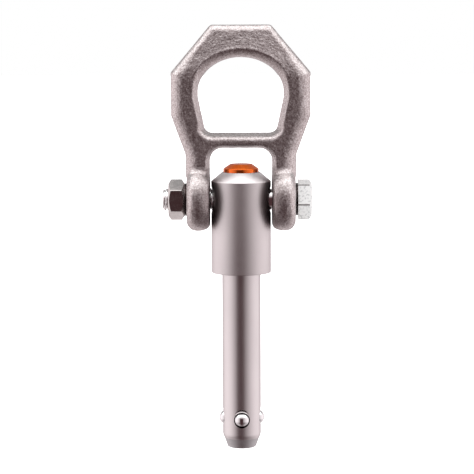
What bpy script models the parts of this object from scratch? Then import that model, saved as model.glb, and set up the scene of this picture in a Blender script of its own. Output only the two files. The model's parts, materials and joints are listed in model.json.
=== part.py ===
"""Ball-lock lifting pin with a swinging shackle, modelled piece by piece.

Frame: the origin is the inner crown of the shackle's eye, where a hook or a lanyard carries it.
+Z is up, X runs along the shackle's bolt (nut on -X, bolt head on +X) and -Y is the front.
At rest the pin hangs straight down between the shackle's ears, with its button released.

The constants are in millimetres. Heights named ..._UP are measured along the pin from the
underside of its head, the face that rests on the plate the pin is pushed through.
"""
import math

import bmesh
import bpy
from mathutils import Matrix, Vector

MM = 0.001
GAP = 0.3                       # clearance between neighbouring pieces
CUT_REACH = 2.0                 # how far a cutting tool runs past the piece it cuts

# Pin: one turned piece, a head and a shank with a blind bore
SHANK_RADIUS = 10.0
SHANK_LENGTH = 87.3
TIP_LENGTH = 5.1
TIP_RADIUS = 7.85
HEAD_RADIUS = 15.5
HEAD_SHOULDER_UP = 47.7
HEAD_LIP_UP = 52.4
HEAD_LIP_RADIUS = 9.9
EDGE_BREAK = 0.3
HEAD_BORE_RADIUS = 9.5
HEAD_BORE_FLOOR_UP = 6.0
SHANK_BORE_RADIUS = 4.0
BORE_BELOW_BALLS = 11.7

# Locking balls, spread evenly round the shank
BALL_RADIUS = 4.0
BALL_OUT = 7.8                  # ball centre to pin axis when locked
BALL_TRAVEL = 1.9
BALLS_UP = -76.8
BALL_HOLE_RADIUS = BALL_RADIUS + 0.1
BALL_ANGLES = {"front": -90.0, "right": 0.0, "back": 90.0, "left": 180.0}

# Push button and the spindle under it
BUTTON_TRAVEL = 4.0
BUTTON_RADIUS = HEAD_BORE_RADIUS - GAP
BUTTON_TOP_RADIUS = 5.6
BUTTON_TOP_UP = 56.6
BUTTON_WALL_TOP_UP = 54.2
BUTTON_FOOT_UP = 27.0
BUTTON_SLOT_HALF_WIDTH = 6.3
SOCKET_DEPTH = 3.5
STEM_RADIUS = 2.8
GUIDE_TOP_OVER_BALLS = 14.0
GUIDE_CONE = 2.7                # length of the cone from the neck to the guide
NECK_SPARE = 1.5                # neck above a ball's centre when the button is fully in
NECK_RADIUS = 1.8
LAND_RADIUS = 3.72
LAND_BELOW_BALLS = 7.2
LAND_CHAMFER = 0.5
RELEASE_SLOPE = BALL_TRAVEL / BUTTON_TRAVEL
BALL_CLEARANCE = 0.05

# Return spring between the bore's floor and the button's foot
SPRING_COIL_RADIUS = 6.2
SPRING_WIRE_RADIUS = 0.7
SPRING_TURNS = 6
SPRING_STEPS_PER_TURN = 20
SPRING_WIRE_SIDES = 8

# Shackle bolt and nut: an M12 bolt whose rolled thread stands proud of the shank
BOLT_UP = 38.1
BOLT_SHANK_RADIUS = 5.43
THREAD_RADIUS = 5.95
THREAD_START_X = -15.0
THREAD_RUNOUT = 1.0
THREAD_END_X = -40.7
THREAD_END_CHAMFER = 1.0
CROSS_BORE_RADIUS = 6.2
CROSS_BORE_MOUTH_RADIUS = 6.8
CROSS_BORE_MOUTH_DEPTH = 1.0
EAR_BORE_RADIUS = 6.3
HEX_ACROSS_FLATS = 18.6
HEX_CORNER_RADIUS = 10.65
HEX_END_RADIUS = 9.1
HEX_CHAMFER = 1.0
NUT_SEAT_X = -27.65
NUT_END_X = -37.7
NUT_FLAT_LEAN = 1.4             # degrees by which the foremost flat leans up from the front
WASHER_FACE_X = 28.07
WASHER_FACE_RADIUS = 8.45
BOLT_HEAD_X = 29.5
BOLT_HEAD_END_X = 36.7
BOLT_HEAD_OVERLAP = 1.0         # how far the washer face's cylinder runs into the hexagon
BOLT_HEAD_FLAT_LEAN = 19.0

# Shackle: a forged ring with an eight-sided outside, a crossbar and two round ears
EYE_CROWN_UP = 111.7
RING_TOP_UP = 128.4
RING_TOP_HALF = 15.45
RING_SIDE_HALF = 36.1
RING_SHOULDER_UP = 103.8
RING_HIP_UP = 81.9
ARM_HALF = 28.55
WAIST_UP = 61.3
ARM_FOOT_BELOW_BOLT = 6.0       # the arms end inside the ears
OUTLINE_ROUND = 7.5
RING_HALF_THICKNESS = 6.75
OUTER_ROUND = 4.5
ROUNDED_EDGE_ANGLE = 60.0
EYE_HALF_WIDTH = 22.1
EYE_WIDEST_UP = 93.5
EYE_KINK_UP = 91.5
EYE_FOOT_HALF = 18.2
EYE_FOOT_ROUND = 4.2
EYE_DRAFT = 2.6                 # how much wider the eye is at the faces than at mid-thickness
BAR_TOP_UP = 72.9
BAR_BOTTOM_UP = 64.8
FORK_HALF = 16.05
FORK_ROUND = 6.5
FORK_DRAFT = 1.7
EAR_RADIUS = 16.4
EAR_INNER_X = 16.0
EAR_OUTER_X = 28.4
EAR_INNER_ROUND = 3.0
EAR_OUTER_ROUND = 4.2
SPOT_FACE_RADIUS = 11.6
SEAT_CLEARING_DEPTH = 5.0       # how deep the arm is cleared away round a spot face
NUT_SPOT_X = 27.35
HEAD_SPOT_X = 27.77

UNDERSIDE_Z = -EYE_CROWN_UP
ROUND_SEGMENTS = 48
SMALL_SEGMENTS = 28
SHARP_ANGLE = 30.0

ALONG_X = Matrix.Rotation(math.radians(90), 4, "Y")


def height(up):
    """World height, in mm, of a level measured from the head's underside."""
    return up + UNDERSIDE_Z


def clear_scene():
    for item in list(bpy.data.objects):
        bpy.data.objects.remove(item, do_unlink=True)


def make_material(name, colour, roughness, metallic=1.0):
    material = bpy.data.materials.new(name)
    material.use_nodes = True
    shader = material.node_tree.nodes["Principled BSDF"]
    shader.inputs["Base Color"].default_value = (*colour, 1.0)
    shader.inputs["Roughness"].default_value = roughness
    shader.inputs["Metallic"].default_value = metallic
    return material


def add_object(name, shape, place=(0, 0, 0), parent=None, material=None):
    """Turn a bmesh in millimetres into an object whose origin is at a place in millimetres."""
    bmesh.ops.recalc_face_normals(shape, faces=shape.faces)
    bmesh.ops.scale(shape, vec=(MM, MM, MM), verts=shape.verts)
    mesh = bpy.data.meshes.new(name)
    shape.to_mesh(mesh)
    shape.free()
    mesh.shade_smooth()
    mesh.set_sharp_from_angle(angle=math.radians(SHARP_ANGLE))
    item = bpy.data.objects.new(name, mesh)
    bpy.context.collection.objects.link(item)
    item.location = Vector(place) * MM
    if parent:
        item.location -= parent.matrix_world.translation
        item.parent = parent
    if material:
        mesh.materials.append(material)
    bpy.context.view_layer.update()
    return item


def add_pivot(name, place):
    pivot = bpy.data.objects.new(name, None)
    pivot.location = Vector(place) * MM
    bpy.context.collection.objects.link(pivot)
    bpy.context.view_layer.update()
    return pivot


def arc(centre, radius, start, end, steps):
    """Points on an arc in a profile's plane, its angles in degrees."""
    return [(centre[0] + radius * math.cos(math.radians(start + (end - start) * i / steps)),
             centre[1] + radius * math.sin(math.radians(start + (end - start) * i / steps)))
            for i in range(steps + 1)]


def turned(profile, segments=ROUND_SEGMENTS):
    """Spin a profile of (radius, height) points about Z."""
    shape = bmesh.new()
    verts = [shape.verts.new((radius, 0, z)) for radius, z in profile]
    edges = [shape.edges.new(pair) for pair in zip(verts, verts[1:])]
    bmesh.ops.spin(shape, geom=verts + edges, cent=(0, 0, 0), axis=(0, 0, 1),
                   angle=math.tau, steps=segments, use_merge=True)
    bmesh.ops.remove_doubles(shape, verts=shape.verts, dist=1e-4)
    return shape


def rod(radius, low, high, segments=SMALL_SEGMENTS):
    return turned([(0, low), (radius, low), (radius, high), (0, high)], segments)


def box(low, high):
    shape = bmesh.new()
    bmesh.ops.create_cube(shape, size=1.0)
    low, high = Vector(low), Vector(high)
    bmesh.ops.scale(shape, vec=high - low, verts=shape.verts)
    bmesh.ops.translate(shape, vec=(low + high) / 2, verts=shape.verts)
    return shape


def laid_along_x(shape):
    """Turn a shape made about Z so that its axis runs along +X."""
    bmesh.ops.transform(shape, matrix=ALONG_X, verts=shape.verts)
    return shape


def as_tool(item):
    """Hide an object that is only used by Boolean modifiers."""
    item.hide_render = True
    item.display_type = "WIRE"
    return item


def tool(name, shape, place=(0, 0, 0)):
    return as_tool(add_object(name, shape, place))


def combine(item, other, operation):
    modifier = item.modifiers.new(other.name, "BOOLEAN")
    modifier.operation = operation
    modifier.object = other


def rounded_outline(corners, steps=5):
    """A closed outline through (x, z, radius) corners, each rounded by an arc."""
    points = []
    count = len(corners)
    for i, (x, z, radius) in enumerate(corners):
        corner = Vector((x, z))
        before = (Vector(corners[i - 1][:2]) - corner).normalized()
        after = (Vector(corners[(i + 1) % count][:2]) - corner).normalized()
        if radius == 0:
            points.append((x, z))
            continue
        half = before.angle(after) / 2
        centre = corner + (before + after).normalized() * radius / math.sin(half)
        start = corner + before * radius / math.tan(half)
        sweep = (start - centre).angle_signed(corner + after * radius / math.tan(half) - centre)
        for k in range(steps + 1):
            turned_arm = (start - centre).copy()
            turned_arm.rotate(Matrix.Rotation(-sweep * k / steps, 2))
            points.append(tuple(centre + turned_arm))
    return points


def widened(outline, distance):
    """The outline with every point moved outwards, square to its neighbours' line."""
    area = sum(a[0] * b[1] - b[0] * a[1] for a, b in zip(outline, outline[1:] + outline[:1]))
    side = 1 if area > 0 else -1
    points = []
    for i, (x, z) in enumerate(outline):
        along = Vector(outline[(i + 1) % len(outline)]) - Vector(outline[i - 1])
        out = Vector((along.y, -along.x)).normalized() * side * distance
        points.append((x + out.x, z + out.y))
    return points


def plate(layers):
    """Join outlines of equal length, each (y, points), into one closed solid."""
    shape = bmesh.new()
    rings = [[shape.verts.new((x, y, z)) for x, z in outline] for y, outline in layers]
    for near, far in zip(rings, rings[1:]):
        for i in range(len(near)):
            shape.faces.new((near[i - 1], near[i], far[i], far[i - 1]))
    shape.faces.new(rings[0])
    shape.faces.new(rings[-1])
    return shape


def drafted_cutter(outline, draft):
    """A cutter that is narrowest at mid-thickness and widens towards both faces."""
    reach = RING_HALF_THICKNESS + CUT_REACH
    wide = widened(outline, draft * reach / RING_HALF_THICKNESS)
    return plate([(-reach, wide), (0, outline), (reach, wide)])


def eye_outline():
    top = [(EYE_HALF_WIDTH * x, height(EYE_WIDEST_UP) + (EYE_CROWN_UP - EYE_WIDEST_UP) * z)
           for x, z in arc((0, 0), 1.0, 0, 180, 24)]
    foot = rounded_outline([(-EYE_HALF_WIDTH, height(EYE_KINK_UP), 0),
                            (-EYE_FOOT_HALF, height(BAR_TOP_UP), EYE_FOOT_ROUND),
                            (EYE_FOOT_HALF, height(BAR_TOP_UP), EYE_FOOT_ROUND),
                            (EYE_HALF_WIDTH, height(EYE_KINK_UP), 0)])
    return top + foot


def make_shackle(steel):
    base = height(BOLT_UP) - ARM_FOOT_BELOW_BOLT
    half_outline = [(RING_TOP_HALF, height(RING_TOP_UP), OUTLINE_ROUND),
                    (RING_SIDE_HALF, height(RING_SHOULDER_UP), OUTLINE_ROUND),
                    (RING_SIDE_HALF, height(RING_HIP_UP), OUTLINE_ROUND),
                    (ARM_HALF, height(WAIST_UP), OUTLINE_ROUND),
                    (ARM_HALF, base, 0)]
    mirrored = [(-x, z, radius) for x, z, radius in reversed(half_outline)]
    outline = rounded_outline(half_outline + mirrored, 4)
    faces = [(-RING_HALF_THICKNESS, outline), (RING_HALF_THICKNESS, outline)]
    shackle = add_object("shackle", plate(faces), material=steel)

    rounding = shackle.modifiers.new("outer_rounding", "BEVEL")
    rounding.width = OUTER_ROUND * MM
    rounding.segments = 4
    rounding.limit_method = "ANGLE"
    rounding.angle_limit = math.radians(ROUNDED_EDGE_ANGLE)

    combine(shackle, tool("eye_cutter", drafted_cutter(eye_outline(), EYE_DRAFT)), "DIFFERENCE")
    fork = rounded_outline([(-FORK_HALF, height(BAR_BOTTOM_UP), FORK_ROUND),
                            (FORK_HALF, height(BAR_BOTTOM_UP), FORK_ROUND),
                            (FORK_HALF, base - CUT_REACH, 0),
                            (-FORK_HALF, base - CUT_REACH, 0)])
    combine(shackle, tool("fork_cutter", drafted_cutter(fork, FORK_DRAFT)), "DIFFERENCE")

    axis = (0, 0, height(BOLT_UP))
    seats = {"left": (-1, NUT_SPOT_X), "right": (1, HEAD_SPOT_X)}
    for name, (side, _) in seats.items():
        ends = (side * (ARM_HALF - SEAT_CLEARING_DEPTH), side * (ARM_HALF + CUT_REACH))
        clearing = laid_along_x(rod(SPOT_FACE_RADIUS + GAP, min(ends), max(ends)))
        combine(shackle, tool(f"seat_clearing_{name}", clearing, axis), "DIFFERENCE")
    for name, (side, seat) in seats.items():
        ear = turned(ear_profile(seat), 40)
        bmesh.ops.scale(ear, vec=(1, 1, side), verts=ear.verts)
        combine(shackle, tool(f"ear_{name}", laid_along_x(ear), axis), "UNION")
    bore = laid_along_x(rod(EAR_BORE_RADIUS, -ARM_HALF - CUT_REACH, ARM_HALF + CUT_REACH))
    combine(shackle, tool("ear_bore", bore, axis), "DIFFERENCE")
    return shackle


def ear_profile(seat):
    """A round ear with rounded rims and a spot face, sunk to a seat, in its outer side."""
    inner = arc((EAR_RADIUS - EAR_INNER_ROUND, EAR_INNER_X + EAR_INNER_ROUND),
                EAR_INNER_ROUND, -90, 0, 3)
    outer = arc((EAR_RADIUS - EAR_OUTER_ROUND, EAR_OUTER_X - EAR_OUTER_ROUND),
                EAR_OUTER_ROUND, 0, 90, 4)
    spot_face = [(SPOT_FACE_RADIUS, EAR_OUTER_X), (SPOT_FACE_RADIUS, seat), (0, seat)]
    return [(0, EAR_INNER_X)] + inner + outer + spot_face


def hexagon(name, low, high, flat_lean, chamfer_low, chamfer_high):
    """A hexagon prism along X with its corners turned down to a chamfer at the chosen ends."""
    half_flat = 30.0            # degrees from a corner to the middle of a flat
    shape = bmesh.new()
    bmesh.ops.create_cone(shape, cap_ends=True, segments=6, depth=high - low,
                          radius1=HEX_ACROSS_FLATS / math.sqrt(3),
                          radius2=HEX_ACROSS_FLATS / math.sqrt(3))
    bmesh.ops.translate(shape, vec=(0, 0, (low + high) / 2), verts=shape.verts)
    turn = Matrix.Rotation(math.radians(half_flat - flat_lean), 3, "Z")
    bmesh.ops.rotate(shape, matrix=turn, verts=shape.verts)
    item = add_object(name, laid_along_x(shape), (0, 0, height(BOLT_UP)))

    profile = [(0, low), (HEX_END_RADIUS if chamfer_low else HEX_CORNER_RADIUS, low)]
    profile += [(HEX_CORNER_RADIUS, low + HEX_CHAMFER)] if chamfer_low else []
    profile += [(HEX_CORNER_RADIUS, high - HEX_CHAMFER)] if chamfer_high else []
    profile += [(HEX_END_RADIUS if chamfer_high else HEX_CORNER_RADIUS, high), (0, high)]
    turning = tool(f"{name}_turning", laid_along_x(turned(profile)), (0, 0, height(BOLT_UP)))
    combine(item, turning, "INTERSECT")
    return item


def make_bolt(zinc):
    washer_end = BOLT_HEAD_X + BOLT_HEAD_OVERLAP
    profile = [(0, THREAD_END_X), (THREAD_RADIUS - THREAD_END_CHAMFER, THREAD_END_X),
               (THREAD_RADIUS, THREAD_END_X + THREAD_END_CHAMFER),
               (THREAD_RADIUS, THREAD_START_X - THREAD_RUNOUT),
               (BOLT_SHANK_RADIUS, THREAD_START_X), (BOLT_SHANK_RADIUS, WASHER_FACE_X),
               (WASHER_FACE_RADIUS, WASHER_FACE_X), (WASHER_FACE_RADIUS, washer_end),
               (0, washer_end)]
    bolt = add_object("shackle_bolt", laid_along_x(turned(profile, SMALL_SEGMENTS)),
                      (0, 0, height(BOLT_UP)), material=zinc)
    head = hexagon("bolt_head", BOLT_HEAD_X, BOLT_HEAD_END_X, BOLT_HEAD_FLAT_LEAN, False, True)
    combine(bolt, as_tool(head), "UNION")
    return bolt


def make_nut(steel):
    nut = hexagon("lock_nut", NUT_END_X, NUT_SEAT_X, NUT_FLAT_LEAN, True, True)
    nut.data.materials.append(steel)
    bore = laid_along_x(rod(THREAD_RADIUS + GAP, NUT_END_X - CUT_REACH, NUT_SEAT_X + CUT_REACH))
    combine(nut, tool("nut_bore", bore, (0, 0, height(BOLT_UP))), "DIFFERENCE")
    return nut


def pin_level(up):
    """Height above the bolt's axis, which is the origin of every piece of the pin."""
    return up - BOLT_UP


def make_pin_body(steel, pivot):
    tip = pin_level(-SHANK_LENGTH - TIP_LENGTH)
    under = pin_level(0)
    floor = pin_level(BALLS_UP - BORE_BELOW_BALLS)
    lip = pin_level(HEAD_LIP_UP)
    profile = [(0, tip), (TIP_RADIUS, tip), (SHANK_RADIUS, pin_level(-SHANK_LENGTH)),
               (SHANK_RADIUS, under), (HEAD_RADIUS - EDGE_BREAK, under),
               (HEAD_RADIUS, under + EDGE_BREAK), (HEAD_RADIUS, pin_level(HEAD_SHOULDER_UP)),
               (HEAD_LIP_RADIUS, lip), (HEAD_BORE_RADIUS, lip),
               (HEAD_BORE_RADIUS, pin_level(HEAD_BORE_FLOOR_UP)),
               (SHANK_BORE_RADIUS, pin_level(HEAD_BORE_FLOOR_UP)),
               (SHANK_BORE_RADIUS, floor), (0, floor)]
    place = (0, 0, height(BOLT_UP))
    body = add_object("pin_body", turned(profile), place, pivot, steel)

    end = HEAD_RADIUS + CUT_REACH
    mouth = HEAD_RADIUS - CROSS_BORE_MOUTH_DEPTH
    waist = mouth - (CROSS_BORE_MOUTH_RADIUS - CROSS_BORE_RADIUS)
    cross = [(0, -end), (CROSS_BORE_MOUTH_RADIUS, -end), (CROSS_BORE_MOUTH_RADIUS, -mouth),
             (CROSS_BORE_RADIUS, -waist), (CROSS_BORE_RADIUS, waist),
             (CROSS_BORE_MOUTH_RADIUS, mouth), (CROSS_BORE_MOUTH_RADIUS, end), (0, end)]
    combine(body, tool("cross_bore", laid_along_x(turned(cross, SMALL_SEGMENTS)), place),
            "DIFFERENCE")
    reach = SHANK_RADIUS + CUT_REACH
    for name, turn in (("ball_bore_sides", 0.0), ("ball_bore_front_back", 90.0)):
        drill = laid_along_x(rod(BALL_HOLE_RADIUS, -reach, reach))
        bmesh.ops.rotate(drill, matrix=Matrix.Rotation(math.radians(turn), 3, "Z"),
                         verts=drill.verts)
        combine(body, tool(name, drill, (0, 0, height(BALLS_UP))), "DIFFERENCE")
    return body


def make_button(orange, pivot):
    foot = pin_level(BUTTON_FOOT_UP)
    profile = [(0, foot + SOCKET_DEPTH), (STEM_RADIUS + GAP, foot + SOCKET_DEPTH),
               (STEM_RADIUS + GAP, foot), (BUTTON_RADIUS, foot),
               (BUTTON_RADIUS, pin_level(BUTTON_WALL_TOP_UP)),
               (BUTTON_TOP_RADIUS, pin_level(BUTTON_TOP_UP)), (0, pin_level(BUTTON_TOP_UP))]
    place = (0, 0, height(BOLT_UP))
    button = add_object("push_button", turned(profile, 40), place, pivot, orange)
    slot_low = -BOLT_SHANK_RADIUS - GAP
    slot_high = BOLT_SHANK_RADIUS + BUTTON_TRAVEL + GAP
    reach = BUTTON_RADIUS + CUT_REACH
    slot = box((-reach, -BUTTON_SLOT_HALF_WIDTH, slot_low),
               (reach, BUTTON_SLOT_HALF_WIDTH, slot_high))
    combine(button, tool("button_slot", slot, place), "DIFFERENCE")
    return button


def make_spindle(steel, pivot):
    """The spindle: its land holds the balls out, and its neck lets them in when it moves down.

    The ramp from the land to the neck runs parallel to the path of the balls' centres, a ball's
    radius away from it, because a ball moves in as evenly as the spindle moves down.
    """
    lean = math.sqrt(1 + RELEASE_SLOPE ** 2)
    ramp_at_balls = BALL_OUT - BALL_RADIUS * lean - BALL_CLEARANCE
    ramp_start = (ramp_at_balls - LAND_RADIUS) / RELEASE_SLOPE
    ramp_end = (ramp_at_balls - NECK_RADIUS) / RELEASE_SLOPE
    guide_radius = SHANK_BORE_RADIUS - GAP
    neck_top = BUTTON_TRAVEL + NECK_SPARE
    top = BUTTON_FOOT_UP + SOCKET_DEPTH - GAP - BALLS_UP
    profile = [(0, -LAND_BELOW_BALLS), (LAND_RADIUS - LAND_CHAMFER, -LAND_BELOW_BALLS),
               (LAND_RADIUS, -LAND_BELOW_BALLS + LAND_CHAMFER), (LAND_RADIUS, ramp_start),
               (NECK_RADIUS, ramp_end), (NECK_RADIUS, neck_top),
               (guide_radius, neck_top + GUIDE_CONE), (guide_radius, GUIDE_TOP_OVER_BALLS),
               (STEM_RADIUS, GUIDE_TOP_OVER_BALLS + guide_radius - STEM_RADIUS),
               (STEM_RADIUS, top), (0, top)]
    return add_object("release_spindle", turned(profile, 28), (0, 0, height(BALLS_UP)),
                      pivot, steel)


def make_spring(wire, pivot):
    """A coil of round wire, swept along a helix and capped at both ends."""
    low = pin_level(HEAD_BORE_FLOOR_UP) + GAP + SPRING_WIRE_RADIUS
    high = pin_level(BUTTON_FOOT_UP) - GAP - SPRING_WIRE_RADIUS
    steps, sides = SPRING_TURNS * SPRING_STEPS_PER_TURN, SPRING_WIRE_SIDES
    shape = bmesh.new()
    rings = []
    for i in range(steps + 1):
        turn = math.tau * SPRING_TURNS * i / steps
        out = Vector((math.cos(turn), math.sin(turn), 0))
        centre = out * SPRING_COIL_RADIUS + Vector((0, 0, low + (high - low) * i / steps))
        rings.append([shape.verts.new(centre + SPRING_WIRE_RADIUS * (
            out * math.cos(math.tau * k / sides) + Vector((0, 0, math.sin(math.tau * k / sides)))))
            for k in range(sides)])
    for near, far in zip(rings, rings[1:]):
        for k in range(sides):
            shape.faces.new((near[k - 1], near[k], far[k], far[k - 1]))
    shape.faces.new(rings[0])
    shape.faces.new(rings[-1])
    return add_object("return_spring", shape, (0, 0, height(BOLT_UP)), pivot, wire)


def make_balls(chrome, pivot):
    for name, angle in BALL_ANGLES.items():
        shape = bmesh.new()
        bmesh.ops.create_uvsphere(shape, u_segments=18, v_segments=12, radius=BALL_RADIUS)
        place = (BALL_OUT * math.cos(math.radians(angle)),
                 BALL_OUT * math.sin(math.radians(angle)), height(BALLS_UP))
        add_object(f"lock_ball_{name}", shape, place, pivot, chrome)


def main():
    clear_scene()
    cast_steel = make_material("cast_steel", (0.42, 0.38, 0.38), 0.45)
    turned_steel = make_material("turned_steel", (0.55, 0.52, 0.52), 0.28)
    nut_steel = make_material("nut_steel", (0.50, 0.49, 0.48), 0.25)
    zinc = make_material("zinc_plate", (0.80, 0.81, 0.82), 0.22)
    orange = make_material("orange_anodised", (0.80, 0.12, 0.01), 0.25)
    chrome = make_material("ball_chrome", (0.75, 0.75, 0.75), 0.05)
    spring_wire = make_material("spring_wire", (0.45, 0.45, 0.46), 0.30)
    spindle_steel = make_material("spindle_steel", (0.50, 0.49, 0.49), 0.25)

    make_shackle(cast_steel)
    make_bolt(zinc)
    make_nut(nut_steel)
    pivot = add_pivot("bolt_axis", (0, 0, height(BOLT_UP)))
    make_pin_body(turned_steel, pivot)
    make_button(orange, pivot)
    make_spindle(spindle_steel, pivot)
    make_spring(spring_wire, pivot)
    make_balls(chrome, pivot)


main()
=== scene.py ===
"""Looks of the ball-lock lifting pin: fine meshes, procedural materials, studio and camera.

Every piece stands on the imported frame, whose origin is the crown of the shackle's eye. Shape
constants are in millimetres and, unless a comment says otherwise, sizes. Heights start at the
eye's crown, the ring's top, the bolt's axis, the underside of the pin's head, the pin's tip or
the balls' level, and the frame gives all of these. X constants are distances from the middle.
"""
import json
import math

import bmesh
import bpy
import numpy as np
from mathutils import Matrix, Vector, noise


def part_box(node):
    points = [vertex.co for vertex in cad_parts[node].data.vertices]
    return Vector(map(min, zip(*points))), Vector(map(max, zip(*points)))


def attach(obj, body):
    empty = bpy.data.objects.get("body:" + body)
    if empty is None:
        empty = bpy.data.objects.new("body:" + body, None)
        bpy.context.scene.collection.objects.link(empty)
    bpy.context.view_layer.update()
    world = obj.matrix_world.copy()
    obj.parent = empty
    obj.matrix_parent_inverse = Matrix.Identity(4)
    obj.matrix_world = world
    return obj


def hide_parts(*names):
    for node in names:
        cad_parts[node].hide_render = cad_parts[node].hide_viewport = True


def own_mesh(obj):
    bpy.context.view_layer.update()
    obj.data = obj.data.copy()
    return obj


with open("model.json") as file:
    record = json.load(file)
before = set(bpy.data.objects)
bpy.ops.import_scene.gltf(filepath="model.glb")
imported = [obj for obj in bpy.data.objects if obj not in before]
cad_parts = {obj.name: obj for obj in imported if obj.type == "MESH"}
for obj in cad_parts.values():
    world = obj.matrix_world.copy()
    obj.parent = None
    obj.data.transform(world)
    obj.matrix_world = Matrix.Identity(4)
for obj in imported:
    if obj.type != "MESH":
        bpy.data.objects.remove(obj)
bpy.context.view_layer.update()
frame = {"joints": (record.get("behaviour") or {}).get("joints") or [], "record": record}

MM = 0.001
BOLT_Z = next(j["pos_m"][2] for j in frame["joints"] if j["name"] == "shackle_swing") / MM
UNDERSIDE_Z = next(m["pos_m"][2] for m in frame["record"]["mounts"]
                   if m["name"] == "underside_seat") / MM
BUTTON_TRAVEL = next(j["range_m"][1] for j in frame["joints"] if j["name"] == "button_press") / MM
BALL_NODES = ("lock_ball_front", "lock_ball_right", "lock_ball_back", "lock_ball_left")

ALONG_X = Matrix.Rotation(math.radians(90), 3, "Y")
ON_BOLT = (0, 0, BOLT_Z)
GAP = 0.3  # between neighbouring pieces
SIDES = 96  # of a turned shape
FINE_SIDES = 192
SHARP_ANGLE = 30  # degrees, past which an edge is shaded sharp
TINY = 1e-6


def span(node, axis):
    """Lowest and highest coordinate of a CAD node along an axis (0, 1 or 2), in mm."""
    low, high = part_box(node)
    return low[axis] / MM, high[axis] / MM


def middle(node):
    """Centre of a CAD node, in mm."""
    low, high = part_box(node)
    return (low + high) / 2 / MM


# ------------------------------ outlines and profiles

def arc(centre, radius, start, end, steps):
    """Points on an arc, its angles in degrees."""
    angles = [math.radians(start + (end - start) * i / steps) for i in range(steps + 1)]
    return [(centre[0] + radius * math.cos(a), centre[1] + radius * math.sin(a)) for a in angles]


def rounded(corners, steps=6, closed=True):
    """A line through (u, v, radius) corners, each rounded by an arc of that radius."""
    points = []
    count = len(corners)
    for i, (u, v, radius) in enumerate(corners):
        corner = Vector((u, v))
        if radius == 0 or (not closed and i in (0, count - 1)):
            points.append((u, v))
            continue
        before = (Vector(corners[i - 1][:2]) - corner).normalized()
        after = (Vector(corners[(i + 1) % count][:2]) - corner).normalized()
        half = before.angle(after) / 2
        centre = corner + (before + after).normalized() * radius / math.sin(half)
        arm = corner + before * radius / math.tan(half) - centre
        sweep = arm.angle_signed(corner + after * radius / math.tan(half) - centre)
        for k in range(steps + 1):
            turned_arm = arm.copy()
            turned_arm.rotate(Matrix.Rotation(-sweep * k / steps, 2))
            points.append(tuple(centre + turned_arm))
    return points


# ------------------------------ mesh building

def finish_mesh(name, shape, sharp_angle=SHARP_ANGLE):
    """Turn a bmesh in millimetres into a smooth-shaded object with sharp edges past an angle."""
    bmesh.ops.recalc_face_normals(shape, faces=shape.faces)
    bmesh.ops.scale(shape, vec=(MM, MM, MM), verts=shape.verts)
    mesh = bpy.data.meshes.new(name)
    shape.to_mesh(mesh)
    shape.free()
    return link_mesh(name, mesh, sharp_angle)


def link_mesh(name, mesh, sharp_angle):
    """Put a mesh into the scene as a smooth-shaded object."""
    shade(mesh, sharp_angle)
    item = bpy.data.objects.new(name, mesh)
    bpy.context.scene.collection.objects.link(item)
    return item


def shade(mesh, sharp_angle):
    """Shade smooth, with sharp edges past an angle in degrees."""
    mesh.shade_smooth()
    mesh.set_sharp_from_angle(angle=math.radians(sharp_angle))


def ring_of(shape, radii, z):
    """A ring of new vertices round Z at evenly spaced angles, each with its own radius."""
    angles = [math.tau * k / len(radii) for k in range(len(radii))]
    return [shape.verts.new((radius * math.cos(angle), radius * math.sin(angle), z))
            for radius, angle in zip(radii, angles)]


def spun(profile, segments):
    """Spin a line of (radius, height) points about Z. A point with no radius is one vertex."""
    shape = bmesh.new()
    rings = [ring_of(shape, [radius] * segments, z) if radius > TINY
             else [shape.verts.new((0, 0, z))] for radius, z in profile]
    for near, far in zip(rings, rings[1:]):
        for k in range(segments):
            corners = [near[k % len(near)], near[(k + 1) % len(near)],
                       far[(k + 1) % len(far)], far[k % len(far)]]
            shape.faces.new(list(dict.fromkeys(corners)))
    return shape


def skinned(shape, rings):
    """Join neighbouring rings of as many vertices by quads, and close both ends."""
    for near, far in zip(rings, rings[1:]):
        for k in range(len(near)):
            shape.faces.new((near[k - 1], near[k], far[k], far[k - 1]))
    shape.faces.new(rings[0])
    shape.faces.new(rings[-1])
    return shape


def moved(shape, place, turn=None):
    """Turn a bmesh about the origin, then move it to a place."""
    if turn:
        bmesh.ops.transform(shape, matrix=turn.to_4x4(), verts=shape.verts)
    bmesh.ops.translate(shape, vec=place, verts=shape.verts)
    return shape


def combined(item, operation, *tools):
    """Apply Booleans between an object and tool shapes, and remove the tools."""
    for shape in tools:
        modifier = item.modifiers.new("tool", "BOOLEAN")
        modifier.operation = operation
        modifier.solver = "MANIFOLD"
        modifier.object = shape
        with bpy.context.temp_override(object=item, active_object=item):
            bpy.ops.object.modifier_apply(modifier=modifier.name)
        bpy.data.objects.remove(shape)
    shade(item.data, SHARP_ANGLE)
    return item


def piece(item, body, slot, material, *nodes):
    """Give a finished mesh its material, and tie it to the frame in place of CAD nodes."""
    item.data.materials.clear()
    item.data.materials.append(material)
    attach(item, body)
    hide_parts(*nodes)
    return item


# ------------------------------ shackle, from a distance field

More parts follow.
